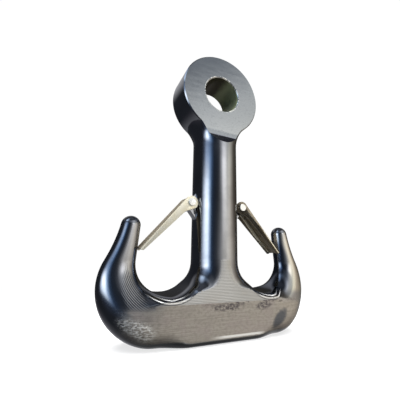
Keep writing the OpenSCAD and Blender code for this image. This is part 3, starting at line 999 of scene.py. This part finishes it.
    def loft(self) -> bpy.types.Object:
        """The base, arms, shank and neck as one skin: a grid with a column for each station.

        A swept section that changes from a flat-sided base to a round arm has no primitive, so
        the grid's points are put on their sections by rule. The back is its mirror image.
        """
        side = self.right_side()
        loop = [s.flipped() for s in reversed(side[1:])] + side
        columns = [self.section(s) for s in loop]
        rows = len(columns[0])
        deselect()
        bpy.ops.mesh.primitive_grid_add(x_subdivisions=len(columns) - 1, y_subdivisions=rows - 1, size=2.0)
        piece = named("hook_forging")
        for vertex in piece.data.vertices:
            i = round((vertex.co.x + 1) / 2 * (len(columns) - 1))
            j = round((vertex.co.y + 1) / 2 * (rows - 1))
            vertex.co = columns[i][j]
        edit(piece, lambda: bpy.ops.mesh.remove_doubles(threshold=2e-6))
        for z in (self.milled_from, self.milled_to):
            edit(piece, lambda: bpy.ops.mesh.bisect(plane_co=(0, 0, z * MM), plane_no=(0, 0, 1)))
        for vertex in piece.data.vertices:
            vertex.co.y = max(vertex.co.y, -self.face_at(vertex.co.z / MM) * MM)
        mirror = piece.modifiers.new("back", "MIRROR")
        mirror.use_axis = (False, True, False)
        mirror.use_clip = True
        mirror.merge_threshold = 2e-6
        apply_modifiers(piece)
        edit(
            piece,
            lambda: bpy.ops.mesh.remove_doubles(threshold=2e-6),
            lambda: bpy.ops.mesh.select_all(action="DESELECT"),
            lambda: bpy.ops.mesh.select_non_manifold(),
            lambda: bpy.ops.mesh.edge_face_add(),
            lambda: bpy.ops.mesh.select_all(action="SELECT"),
            lambda: bpy.ops.mesh.normals_make_consistent(inside=False),
        )
        return piece

    def flat_cutter(self, face: int) -> bpy.types.Object:
        """The block that cuts one eye flat on the neck and its ramp out to the shank."""
        far, half = 120.0, self.eye_t / 2
        start = self.neck_from - 6.6
        end = start + self.ramp_h
        outline = [(self.shank_r + 1, start), (self.shank_r, start), (half + 0.9, end),
                   (half, end + 8), (half, self.eye_z + far), (far, self.eye_z + far), (far, start)]
        block = prism("flat_cutter", outline, 2 * far)
        block.data.transform(Matrix.Rotation(face * math.pi / 2, 4, "Z"))
        face_outwards(block)
        return block

    def eye_disc(self) -> bpy.types.Object:
        """The eye as a disc with its two rims chamfered."""
        disc = rod("eye_disc", self.eye_r, self.eye_t, (0, 0, self.eye_z), sides=160)
        soften(disc, self.eye_chamfer * MM, 1, 60)
        return disc

    def bore_cutter(self) -> bpy.types.Object:
        """The bore with a chamfer flaring out at each end."""
        cutter = rod("bore_cutter", self.bore_r, self.eye_t - 2 * self.bore_chamfer, (0, 0, self.eye_z), 128)
        flare = 2 * self.bore_chamfer
        for end in (-1, 1):
            limit = (self.eye_t / 2 - self.bore_chamfer - 0.01) * MM
            choose(cutter, "FACE", lambda ends: min(e.y * end for e in ends) > limit)
            bpy.ops.mesh.extrude_region_move(TRANSFORM_OT_translate={"value": (0, end * flare * MM, 0)})
            grow = (self.bore_r + flare) / self.bore_r
            bpy.ops.transform.resize(value=(grow, 1, grow), center_override=(0, 0, self.eye_z * MM))
            bpy.ops.object.mode_set(mode="OBJECT")
        face_outwards(cutter)
        return cutter

    def lug(self, side: Side) -> bpy.types.Object:
        """The lug that carries one latch: a tapering web with a round boss at the pin."""
        s = side.value
        px, pz = self.pivot
        boss = [on_arc(self.pivot, self.lug_r, a) for a in range(-50, 131, 10)]
        outline = boss + [(self.shank_r + 2.5, pz + 12.5), (self.shank_r - 0.6, pz + 16), (25, pz + 18),
                          (25, pz - 28), (self.shank_r - 0.8, pz - 25), (self.shank_r + 1.6, pz - 20)]
        made = prism("lug", [(s * x, z) for x, z in outline], self.lug_w)
        soften(made, 1.4 * MM, 3, 50)
        return made

    def mark_seam(self, piece: bpy.types.Object) -> None:
        """Smooths the forging but keeps the line where the milled face leans back crisp."""
        pick(piece)
        bpy.ops.object.shade_smooth_by_angle(angle=math.radians(24.0))
        seam, face = self.milled_from * MM, (self.base_half_t - 0.01) * MM
        choose(piece, "EDGE", lambda ends: all(abs(e.z - seam) < 1e-6 and abs(e.y) > face for e in ends))
        bpy.ops.mesh.mark_sharp()
        bpy.ops.object.mode_set(mode="OBJECT")
        even = piece.modifiers.new("flats", "WEIGHTED_NORMAL")
        even.weight = 100
        even.keep_sharp = True
        apply_modifiers(piece)

    def build(self) -> bpy.types.Object:
        """Models the forging, dresses it and puts it on its body."""
        piece = self.loft()
        for face in (-1, 1):
            combine(piece, self.flat_cutter(face), Cut.REMOVE)
        combine(piece, self.eye_disc(), Cut.JOIN)
        combine(piece, self.bore_cutter(), Cut.REMOVE)
        for side in Side:
            combine(piece, self.lug(side), Cut.JOIN)
        self.mark_seam(piece)
        dress(piece, self.finish.build(self.bowl_c, self.bowl_r, self.milled_from, self.milled_to,
                                       self.eye_z, self.bore_r))
        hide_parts("hook_body")
        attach(piece, "hook")
        return piece


# ---- one latch and its fasteners ---------------------------------------------------------------


@dataclass
class Latch:
    """A safety latch with its pin, washer, split pin and double torsion spring, in millimetres."""

    side: Side
    pivot: Point = (43.5, 188.0)
    slope: float = 49.0
    length: float = 98.0
    width: float = 26.0
    sheet: float = 2.2
    ear_r: float = 10.0
    nose_depth: float = 6.0
    pin_r: float = 3.5
    lug_w: float = 12.0
    play: float = 0.35
    head_r: float = 5.6
    head_h: float = 2.6
    washer_r: float = 6.6
    washer_h: float = 1.2
    cotter_r: float = 0.9
    wire_r: float = 0.8
    coil_gap: float = 0.55
    end_gap: float = 1.1
    turns: float = 2.39
    leg: float = 22.0
    # The yellow zinc gets painted shade on its web and edges.
    zinc: PlatedMetal = PlatedMetal("yellow_zinc", (0.98, 0.95, 0.82), (0.96, 0.90, 0.70), 0.42, 0.7,
                                    edge_on=(0.34, 0.29, 0.21))
    bright: PlatedMetal = PlatedMetal("bright_plate", (0.96, 0.96, 0.94), (0.93, 0.92, 0.88), 0.42, 0.6)
    drawn: PlatedMetal = PlatedMetal("drawn_wire", (0.46, 0.46, 0.47), (0.38, 0.37, 0.36), 0.32)

    @property
    def gate_body(self) -> str:
        """The body that the gate rides on."""
        return f"{self.side.label}_latch"

    @property
    def cheek_y(self) -> float:
        """Inner face of a cheek."""
        return self.width / 2 - self.sheet

    @property
    def coil_r(self) -> float:
        """Middle of the spring's wire from the pivot."""
        return self.pin_r + self.coil_gap + self.wire_r

    @property
    def drawn_r(self) -> float:
        """Radius of the spring's drawn wire."""
        return self.wire_r * 0.85

    @property
    def cotter_y(self) -> float:
        """Where the split pin crosses the pivot pin."""
        return self.width / 2 + 2 * self.play + self.washer_h + self.cotter_r

    def seat(self, piece: bpy.types.Object, along: bool = False) -> bpy.types.Object:
        """Moves a mesh from the latch's own axes to its place.

        Args:
            piece: A piece modelled about the pivot.
            along: Whether its X runs along the closed latch and not level.

        Returns:
            The same piece.
        """
        turn = Matrix.Rotation(math.radians(self.slope), 4, "Y") if along else Matrix.Identity(4)
        put = Matrix.Translation((self.pivot[0] * MM, 0, self.pivot[1] * MM)) @ turn
        flip = Matrix.Scale(self.side.value, 4, (1, 0, 0))
        piece.data.transform(flip @ put)
        face_outwards(piece)
        return piece

    def put(self, piece: bpy.types.Object, body: Optional[str], node: str, slot: str,
            finish: PlatedMetal, materials: dict[str, bpy.types.Material]) -> None:
        """Dresses a piece, hides the CAD part that it replaces and puts it on its body, if it has only one.
        """
        if finish.name not in materials:
            materials[finish.name] = finish.build()
        dress(piece, materials[finish.name])
        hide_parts(f"{self.side.label}_{node}")
        if body:
            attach(piece, body)

    def cheek_outline(self) -> list[Point]:
        """Side view of the gate."""
        ear = [on_arc((0, 0), self.ear_r, a) for a in range(90, 281, 10)]
        low = self.ear_r - self.nose_depth
        return ear + [(0.17 * self.length, -0.2 * self.ear_r),
                      (self.length - 1.5, low), (self.length, low + 1.5), (self.length, self.ear_r)]

    def gate(self) -> bpy.types.Object:
        """The pressed channel: two cheeks bent down from a web that stops short of the pivot."""
        shell = prism(f"{self.side.label}_gate", self.cheek_outline(), self.width)
        top = (self.ear_r - 0.01) * MM
        choose(shell, "EDGE", lambda ends: min(e.z for e in ends) > top and abs(ends[0].x - ends[1].x) > 0.05)
        bpy.ops.mesh.bevel(offset=2.4 * MM, segments=5, affect="EDGES")
        bpy.ops.object.mode_set(mode="OBJECT")
        face_outwards(shell)
        web_in = self.ear_r - self.sheet
        reach = self.ear_r + 2
        corner = 1.0
        eased = 0.3 * corner
        wall = [(self.cheek_y, -2 * self.ear_r), (self.cheek_y, web_in - corner),
                (self.cheek_y - eased, web_in - eased), (self.cheek_y - corner, web_in)]
        far_wall = [(-y, z) for y, z in reversed(wall)]
        hollow = prism("hollow", far_wall[-1:] + wall + far_wall[:-1],
                       self.length + 2 * reach, -self.length / 2)
        hollow.data.transform(Matrix.Rotation(math.pi / 2, 4, "Z"))
        face_outwards(hollow)
        combine(shell, hollow, Cut.REMOVE)
        above = 2 * self.ear_r
        step = prism("step", [(-reach, 0), (2, 0), (2, above), (-reach, above)], 2 * self.cheek_y)
        combine(shell, step, Cut.REMOVE)
        combine(shell, rod("hole", self.pin_r + 0.08, self.width + 4, (0, 0, 0)), Cut.REMOVE)
        soften(shell, 0.35 * MM, 2, 50)
        smooth(shell, 30.0)
        return self.seat(shell, along=True)

    def pin(self) -> bpy.types.Object:
        """The headed pin, with a domed head and a chamfered tail."""
        rear = self.cotter_y + self.cotter_r + 2.4
        front = -self.width / 2 - self.play
        body = rod(f"{self.side.label}_pin", self.pin_r, rear - front, (0, (rear + front) / 2, 0))
        soften(body, 0.5 * MM, 2, 60)
        head = rod("head", self.head_r, self.head_h, (0, front - self.head_h / 2, 0))
        soften(head, 0.7 * MM, 3, 60)
        combine(body, head, Cut.JOIN)
        smooth(body)
        return self.seat(body)

    def washer(self) -> bpy.types.Object:
        """The washer behind the rear cheek."""
        y = self.width / 2 + self.play / 2 + self.washer_h / 2
        ring = rod(f"{self.side.label}_washer", self.washer_r, self.washer_h, (0, y, 0))
        combine(ring, rod("hole", self.pin_r + 0.2, 3 * self.washer_h, (0, y, 0)), Cut.REMOVE)
        soften(ring, 0.2 * MM, 2, 60)
        smooth(ring)
        return self.seat(ring)

    def split_pin(self) -> bpy.types.Object:
        """The split pin: one wire that loops over the pivot pin and spreads below it."""
        r = self.cotter_r * 0.55
        ring_r, top = 2.0, self.pin_r + 3.6
        leg = [(r, 0, self.pin_r), (r, 0, -self.pin_r), (r + 0.5, 0, -self.pin_r - 1.6),
               (r + 1.2, 0, -self.pin_r - 4.2)]
        path = [(-x, 0, z) for x, _, z in reversed(leg)]
        path += [(ring_r * math.sin(math.radians(a)), 0, top - ring_r * math.cos(math.radians(a)))
                 for a in range(-30, -331, -15)]
        path += leg
        made = wire(f"{self.side.label}_split_pin_wire", [(x, self.cotter_y, z) for x, y, z in path], r)
        return self.seat(made)

    def coil(self, end: int) -> bpy.types.Object:
        """One coil of the spring with its two legs.

        Args:
            end: -1 for the front coil and 1 for the rear one.

        Returns:
            The coil; its turns run from the lug out to the cheek.
        """
        near, far = self.lug_w / 2 + self.end_gap, self.cheek_y - self.end_gap
        steps = 72
        start = 180.0
        path = [(-self.coil_r - math.sin(math.radians(10)) * d, end * near, -d) for d in (16.0, 8.0)]
        for k in range(steps + 1):
            a = math.radians(start - 360 * self.turns * k / steps)
            y = end * mix(near, far, k / steps)
            path.append((self.coil_r * math.cos(a), y, self.coil_r * math.sin(a)))
        last = math.radians(self.slope + 2)
        lead = Vector((math.cos(last), 0, -math.sin(last)))
        tail = Vector(path[-1])
        path += [tuple(tail + lead * d) for d in (6.0, 14.0, self.leg)]
        name = "front" if end < 0 else "rear"
        return self.seat(wire(f"{self.side.label}_spring_{name}", path, self.drawn_r))

    def bridge(self, ends: Sequence[Vector]) -> bpy.types.Object:
        """The bar that joins the two coils under the web."""
        made = wire(f"{self.side.label}_spring_bridge", [tuple(p) for p in ends], self.drawn_r)
        return self.seat(made)

    def build(self, materials: dict[str, bpy.types.Material]) -> list[bpy.types.Object]:
        """Models every piece of this latch.

        Args:
            materials: Finishes made so far, by name.

        Returns:
            The pieces.
        """
        gate = self.gate()
        self.put(gate, self.gate_body, "latch_gate", "zinc_sheet", self.zinc, materials)
        pin = self.pin()
        self.put(pin, "hook", "pivot_pin", "plated_pin", self.bright, materials)
        washer = self.washer()
        self.put(washer, "hook", "pin_washer", "plated_pin", self.bright, materials)
        split = self.split_pin()
        self.put(split, "hook", "split_pin", "spring_wire", self.drawn, materials)
        tip_a = math.radians(180.0 - 360 * self.turns)
        last = math.radians(self.slope + 2)
        made = [gate, pin, washer, split]
        far = self.cheek_y - self.end_gap
        x = self.coil_r * math.cos(tip_a) + math.cos(last) * self.leg
        z = self.coil_r * math.sin(tip_a) - math.sin(last) * self.leg
        bridge = self.bridge([(x, -far, z), (x, 0, z), (x, far, z)])
        self.put(bridge, self.gate_body, "latch_spring", "spring_wire", self.drawn, materials)
        made.append(bridge)
        for end in (-1, 1):
            coil = self.coil(end)
            self.put(coil, None, "latch_spring", "spring_wire", self.drawn, materials)
            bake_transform(coil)
            made.append(coil)
        return made


# ---- the studio --------------------------------------------------------------------------------


@dataclass(frozen=True)
class Band:
    """Soft light panels and dark flags all round the hook at one height.

    elevation is in degrees. Each stop is an angle round the hook, from straight in front towards
    +X, and the light that comes from there.
    """

    elevation: float
    stops: tuple[tuple[float, Colour], ...]

    def ramp(self, tree: bpy.types.NodeTree, around: bpy.types.NodeSocket) -> bpy.types.NodeSocket:
        """Adds this band as a colour ramp over the angle round the hook."""
        node = tree.nodes.new("ShaderNodeValToRGB")
        node.color_ramp.interpolation = "LINEAR"
        elements = node.color_ramp.elements
        elements[0].color = (*self.stops[0][1], 1.0)
        elements[1].color = (*self.stops[-1][1], 1.0)
        for angle, light in self.stops[1:-1]:
            elements.new((angle + 180.0) / 360.0).color = (*light, 1.0)
        tree.links.new(around, node.inputs[0])
        return node.outputs[0]


DARK: Colour = (0.030, 0.033, 0.040)
NAVY: Colour = (0.040, 0.052, 0.078)

BANDS: tuple[Band, ...] = (
    Band(-62, ((-180, (0.10, 0.10, 0.10)), (0, (0.05, 0.05, 0.05)), (180, (0.10, 0.10, 0.10)))),
    Band(-42, ((-180, (0.30, 0.30, 0.31)), (-130, (0.12, 0.12, 0.13)), (-100, DARK), (-45, DARK),
               (-25, (0.40, 0.39, 0.37)), (12, (0.85, 0.82, 0.76)), (34, (0.45, 0.43, 0.38)),
               (60, (0.14, 0.13, 0.11)), (120, (0.25, 0.25, 0.25)), (180, (0.30, 0.30, 0.31)))),
    Band(-27, ((-180, (0.45, 0.45, 0.46)), (-160, (0.35, 0.35, 0.36)), (-140, (0.08, 0.08, 0.09)),
               (-108, DARK), (-50, DARK), (-28, (0.12, 0.12, 0.13)), (-8, (0.62, 0.60, 0.56)),
               (22, (0.75, 0.71, 0.65)), (36, (1.60, 1.55, 1.45)), (50, (1.10, 1.02, 0.90)),
               (80, (0.42, 0.38, 0.32)), (118, (0.42, 0.41, 0.40)), (140, (0.42, 0.42, 0.42)),
               (152, (0.12, 0.12, 0.12)), (168, (0.12, 0.12, 0.12)), (180, (0.45, 0.45, 0.46)))),
    Band(-13, ((-180, (0.34, 0.34, 0.35)), (-162, (0.26, 0.26, 0.27)), (-145, (0.05, 0.05, 0.06)),
               (-108, DARK), (-92, DARK), (-70, (0.05, 0.06, 0.09)), (-54, (0.045, 0.06, 0.09)),
               (-42, NAVY), (-14, (0.07, 0.08, 0.09)), (0, (0.40, 0.40, 0.39)), (14, (0.58, 0.555, 0.52)),
               (30, (0.60, 0.56, 0.52)), (44, (0.70, 0.66, 0.60)), (62, (0.80, 0.74, 0.64)),
               (84, (0.62, 0.56, 0.47)), (106, (0.32, 0.30, 0.27)), (120, (0.38, 0.37, 0.36)),
               (138, (0.36, 0.36, 0.36)), (150, (0.06, 0.06, 0.06)), (166, (0.06, 0.06, 0.06)),
               (180, (0.34, 0.34, 0.35)))),
    Band(-7, ((-180, (0.16, 0.16, 0.17)), (-150, DARK), (-108, DARK), (-93, (0.05, 0.06, 0.08)),
              (-82, (0.06, 0.08, 0.12)), (-62, (0.10, 0.14, 0.22)), (-50, (0.08, 0.12, 0.20)),
              (-40, NAVY), (-14, (0.08, 0.09, 0.10)), (0, (0.38, 0.38, 0.37)), (16, (0.66, 0.64, 0.60)),
              (36, (0.85, 0.80, 0.72)), (62, (0.95, 0.88, 0.76)), (84, (0.66, 0.60, 0.50)),
              (106, (0.25, 0.23, 0.20)), (122, (0.26, 0.25, 0.24)), (138, (0.20, 0.20, 0.20)),
              (148, (0.04, 0.04, 0.04)), (168, (0.04, 0.04, 0.04)), (180, (0.16, 0.16, 0.17)))),
    Band(1, ((-180, (0.05, 0.05, 0.055)), (-160, DARK), (-102, DARK), (-93, (0.12, 0.14, 0.19)),
             (-83, (1.3, 1.5, 1.8)), (-72, (2.4, 2.7, 3.0)), (-60, (2.6, 3.0, 3.4)),
              (-50, (0.60, 0.86, 1.30)),
             (-42, (0.05, 0.09, 0.17)), (-31, NAVY), (-16, (0.09, 0.10, 0.115)), (-3, (0.30, 0.30, 0.31)),
             (8, (0.66, 0.65, 0.62)), (18, (0.92, 0.88, 0.80)), (30, (1.10, 1.04, 0.92)),
             (41, (1.55, 1.46, 1.28)), (54, (1.45, 1.32, 1.10)), (70, (0.90, 0.80, 0.66)),
             (88, (0.40, 0.35, 0.28)), (106, (0.12, 0.10, 0.08)), (152, (0.03, 0.03, 0.028)),
             (180, (0.05, 0.05, 0.055)))),
    Band(12, ((-180, (0.06, 0.06, 0.065)), (-160, DARK), (-102, DARK), (-93, (0.06, 0.07, 0.10)),
              (-83, (1.5, 1.7, 2.0)), (-72, (3.6, 3.8, 4.0)), (-61, (3.6, 4.0, 4.3)),
              (-51, (0.85, 1.25, 1.75)), (-42, (0.06, 0.11, 0.21)), (-32, (0.030, 0.042, 0.068)),
              (-12, (0.05, 0.055, 0.065)), (-2, (0.14, 0.145, 0.15)), (8, (0.42, 0.42, 0.43)),
              (18, (1.70, 1.66, 1.60)), (29, (2.00, 1.93, 1.78)), (41, (1.45, 1.38, 1.24)),
              (54, (1.42, 1.30, 1.10)), (68, (0.70, 0.61, 0.50)), (85, (0.20, 0.165, 0.13)),
              (106, (0.08, 0.065, 0.05)), (152, (0.03, 0.03, 0.028)), (180, (0.06, 0.06, 0.065)))),
    Band(22, ((-180, (0.06, 0.06, 0.065)), (-158, DARK), (-102, DARK), (-92, (0.03, 0.035, 0.045)),
              (-82, (0.10, 0.13, 0.20)), (-72, (0.62, 0.82, 1.16)), (-61, (0.60, 0.84, 1.22)),
              (-51, (0.40, 0.62, 1.00)), (-41, (0.12, 0.21, 0.38)), (-32, (0.032, 0.046, 0.072)),
              (-16, (0.035, 0.045, 0.06)), (-3, (0.09, 0.10, 0.12)), (7, (0.80, 0.81, 0.82)),
              (18, (2.40, 2.36, 2.32)), (29, (2.30, 2.26, 2.16)), (41, (1.20, 1.18, 1.06)),
              (54, (1.40, 1.34, 1.12)), (68, (0.86, 0.80, 0.66)), (85, (0.20, 0.175, 0.135)),
              (106, (0.10, 0.09, 0.07)), (152, (0.04, 0.04, 0.036)), (180, (0.06, 0.06, 0.065)))),
    Band(27, ((-180, (0.12, 0.12, 0.125)), (-150, DARK), (-100, DARK), (-88, (0.10, 0.12, 0.17)),
              (-70, (0.50, 0.65, 0.90)), (-55, (0.22, 0.32, 0.50)), (-40, NAVY), (-5, (0.16, 0.17, 0.19)),
              (14, (0.72, 0.74, 0.76)), (30, (0.76, 0.79, 0.80)), (46, (0.74, 0.76, 0.75)),
              (66, (0.50, 0.47, 0.40)), (95, (0.12, 0.11, 0.09)), (150, (0.06, 0.06, 0.06)),
              (180, (0.12, 0.12, 0.125)))),
    Band(38, ((-180, (0.50, 0.50, 0.52)), (-140, (0.30, 0.30, 0.31)), (-90, DARK), (-66, (0.20, 0.25, 0.33)),
              (-40, NAVY), (0, (0.30, 0.33, 0.36)), (20, (0.66, 0.69, 0.72)), (36, (0.72, 0.75, 0.78)),
              (55, (0.60, 0.61, 0.60)), (90, (0.10, 0.09, 0.08)), (140, (0.30, 0.30, 0.31)),
              (180, (0.50, 0.50, 0.52)))),
    Band(46, ((-180, (0.50, 0.50, 0.52)), (-120, DARK), (-96, (0.12, 0.15, 0.22)), (-84, (1.5, 1.8, 2.2)),
              (-68, (1.5, 1.9, 2.4)), (-52, (0.25, 0.35, 0.50)), (-10, (0.30, 0.31, 0.33)),
              (22, (1.05, 1.08, 1.13)), (45, (1.05, 1.08, 1.13)), (75, (0.20, 0.19, 0.18)),
              (120, DARK), (180, (0.50, 0.50, 0.52)))),
    Band(60, ((-180, DARK), (-105, DARK), (-84, (0.9, 1.1, 1.4)), (-66, (0.9, 1.1, 1.4)), (-40, NAVY),
              (0, (0.05, 0.055, 0.065)), (30, (0.10, 0.11, 0.12)), (80, DARK), (180, DARK))),
    Band(80, ((-180, (0.12, 0.13, 0.15)), (180, (0.12, 0.13, 0.15)))),
)


@dataclass
class Studio:
    """The pale floor and backdrop, the overhead softbox, the light panels and the camera."""

    camera_at: tuple[float, float, float] = (-0.1895, -0.3569, 0.1090)
    yaw: float = 24.76
    pitch: float = 12.47
    roll: float = 0.99
    lens: float = 23.55
    bands: tuple[Band, ...] = BANDS

    def sweep(self) -> None:
        """A floor that runs up into a white backdrop, flagged off from the hook's reflections."""
        deselect()
        bpy.ops.mesh.primitive_uv_sphere_add(segments=96, ring_count=64, radius=12.0)
        floor = named("studio_floor")
        level = CAD_BOX[0][2] - 0.0002
        for vertex in floor.data.vertices:
            vertex.co.z = max(vertex.co.z, level)
        edit(floor, lambda: bpy.ops.mesh.remove_doubles(threshold=1e-5))
        smooth(floor, 30.0)
        dress(floor, PaleFloor().build())
        floor.visible_glossy = False
        floor.visible_diffuse = False
        floor.visible_shadow = False

    def panels(self) -> None:
        """Sets the soft light panels and flags that the polished steel reflects."""
        world = bpy.data.worlds.new("studio")
        bpy.context.scene.world = world
        world.use_nodes = True
        tree = world.node_tree
        tree.nodes.clear()

        def calculate(operation: str, a: object, b: object) -> bpy.types.NodeSocket:
            """One step of arithmetic in the world's tree."""
            node = tree.nodes.new("ShaderNodeMath")
            node.operation = operation
            for slot, value in ((0, a), (1, b)):
                if isinstance(value, bpy.types.NodeSocket):
                    tree.links.new(value, node.inputs[slot])
                else:
                    node.inputs[slot].default_value = value
            return node.outputs[0]

        direction = tree.nodes.new("ShaderNodeSeparateXYZ")
        tree.links.new(tree.nodes.new("ShaderNodeTexCoord").outputs["Generated"], direction.inputs[0])
        x, y, z = direction.outputs
        angle = calculate("ARCTAN2", x, calculate("MULTIPLY", y, -1.0))
        around = calculate("ADD", calculate("DIVIDE", angle, 2 * math.pi), 0.5)
        height = calculate("MULTIPLY", calculate("ARCSINE", z, 0.0), 180 / math.pi)
        light = self.bands[0].ramp(tree, around)
        for low, high in zip(self.bands, self.bands[1:]):
            share = tree.nodes.new("ShaderNodeMapRange")
            share.inputs[1].default_value, share.inputs[2].default_value = low.elevation, high.elevation
            tree.links.new(height, share.inputs[0])
            blend = tree.nodes.new("ShaderNodeMix")
            blend.data_type = "RGBA"
            tree.links.new(share.outputs[0], blend.inputs[0])
            tree.links.new(light, blend.inputs[6])
            tree.links.new(high.ramp(tree, around), blend.inputs[7])
            light = blend.outputs[2]
        background = tree.nodes.new("ShaderNodeBackground")
        tree.links.new(light, background.inputs[0])
        out = tree.nodes.new("ShaderNodeOutputWorld")
        tree.links.new(background.outputs[0], out.inputs[0])

    def overhead(self) -> None:
        """A big soft overhead light that whitens the floor and gives a faint contact shadow."""
        light = bpy.data.lights.new("overhead", "AREA")
        light.shape = "SQUARE"
        light.size = 7.0
        light.energy = 1500.0
        made = bpy.data.objects.new("overhead", light)
        bpy.context.scene.collection.objects.link(made)
        made.location = (0, 0, 5.0)
        made.visible_glossy = False
        made.visible_camera = False

    def camera(self) -> None:
        """The camera at the real viewing angle, close to the hook and a little below its middle."""
        yaw, pitch, roll = (math.radians(a) for a in (self.yaw, self.pitch, self.roll))
        forward = Vector((math.sin(yaw) * math.cos(pitch), math.cos(yaw) * math.cos(pitch), math.sin(pitch)))
        level = Vector((math.cos(yaw), -math.sin(yaw), 0))
        up = level.cross(forward)
        right = level * math.cos(roll) + up * math.sin(roll)
        above = up * math.cos(roll) - level * math.sin(roll)
        data = bpy.data.cameras.new("camera")
        data.lens = self.lens
        data.sensor_width = 36.0
        data.clip_start = 0.01
        made = bpy.data.objects.new("camera", data)
        bpy.context.scene.collection.objects.link(made)
        turn = Matrix((right, above, -forward)).transposed().to_4x4()
        made.matrix_world = Matrix.Translation(self.camera_at) @ turn
        bpy.context.scene.camera = made

    def build(self) -> None:
        """Sets up the whole studio."""
        bpy.context.scene.view_settings.view_transform = "Standard"
        self.sweep()
        self.panels()
        self.overhead()
        self.camera()


def main() -> None:
    """Builds the studio and every piece, and reports each one."""
    logging.basicConfig(level=logging.INFO, format="%(message)s")
    Studio().build()
    forging = HookForging().build()
    LOG.info("%s: %d faces", forging.name, len(forging.data.polygons))
    materials: dict[str, bpy.types.Material] = {}
    for side in Side:
        for piece in Latch(side).build(materials):
            LOG.info("%s: %d faces", piece.name, len(piece.data.polygons))


if __name__ == "__main__":
    main()
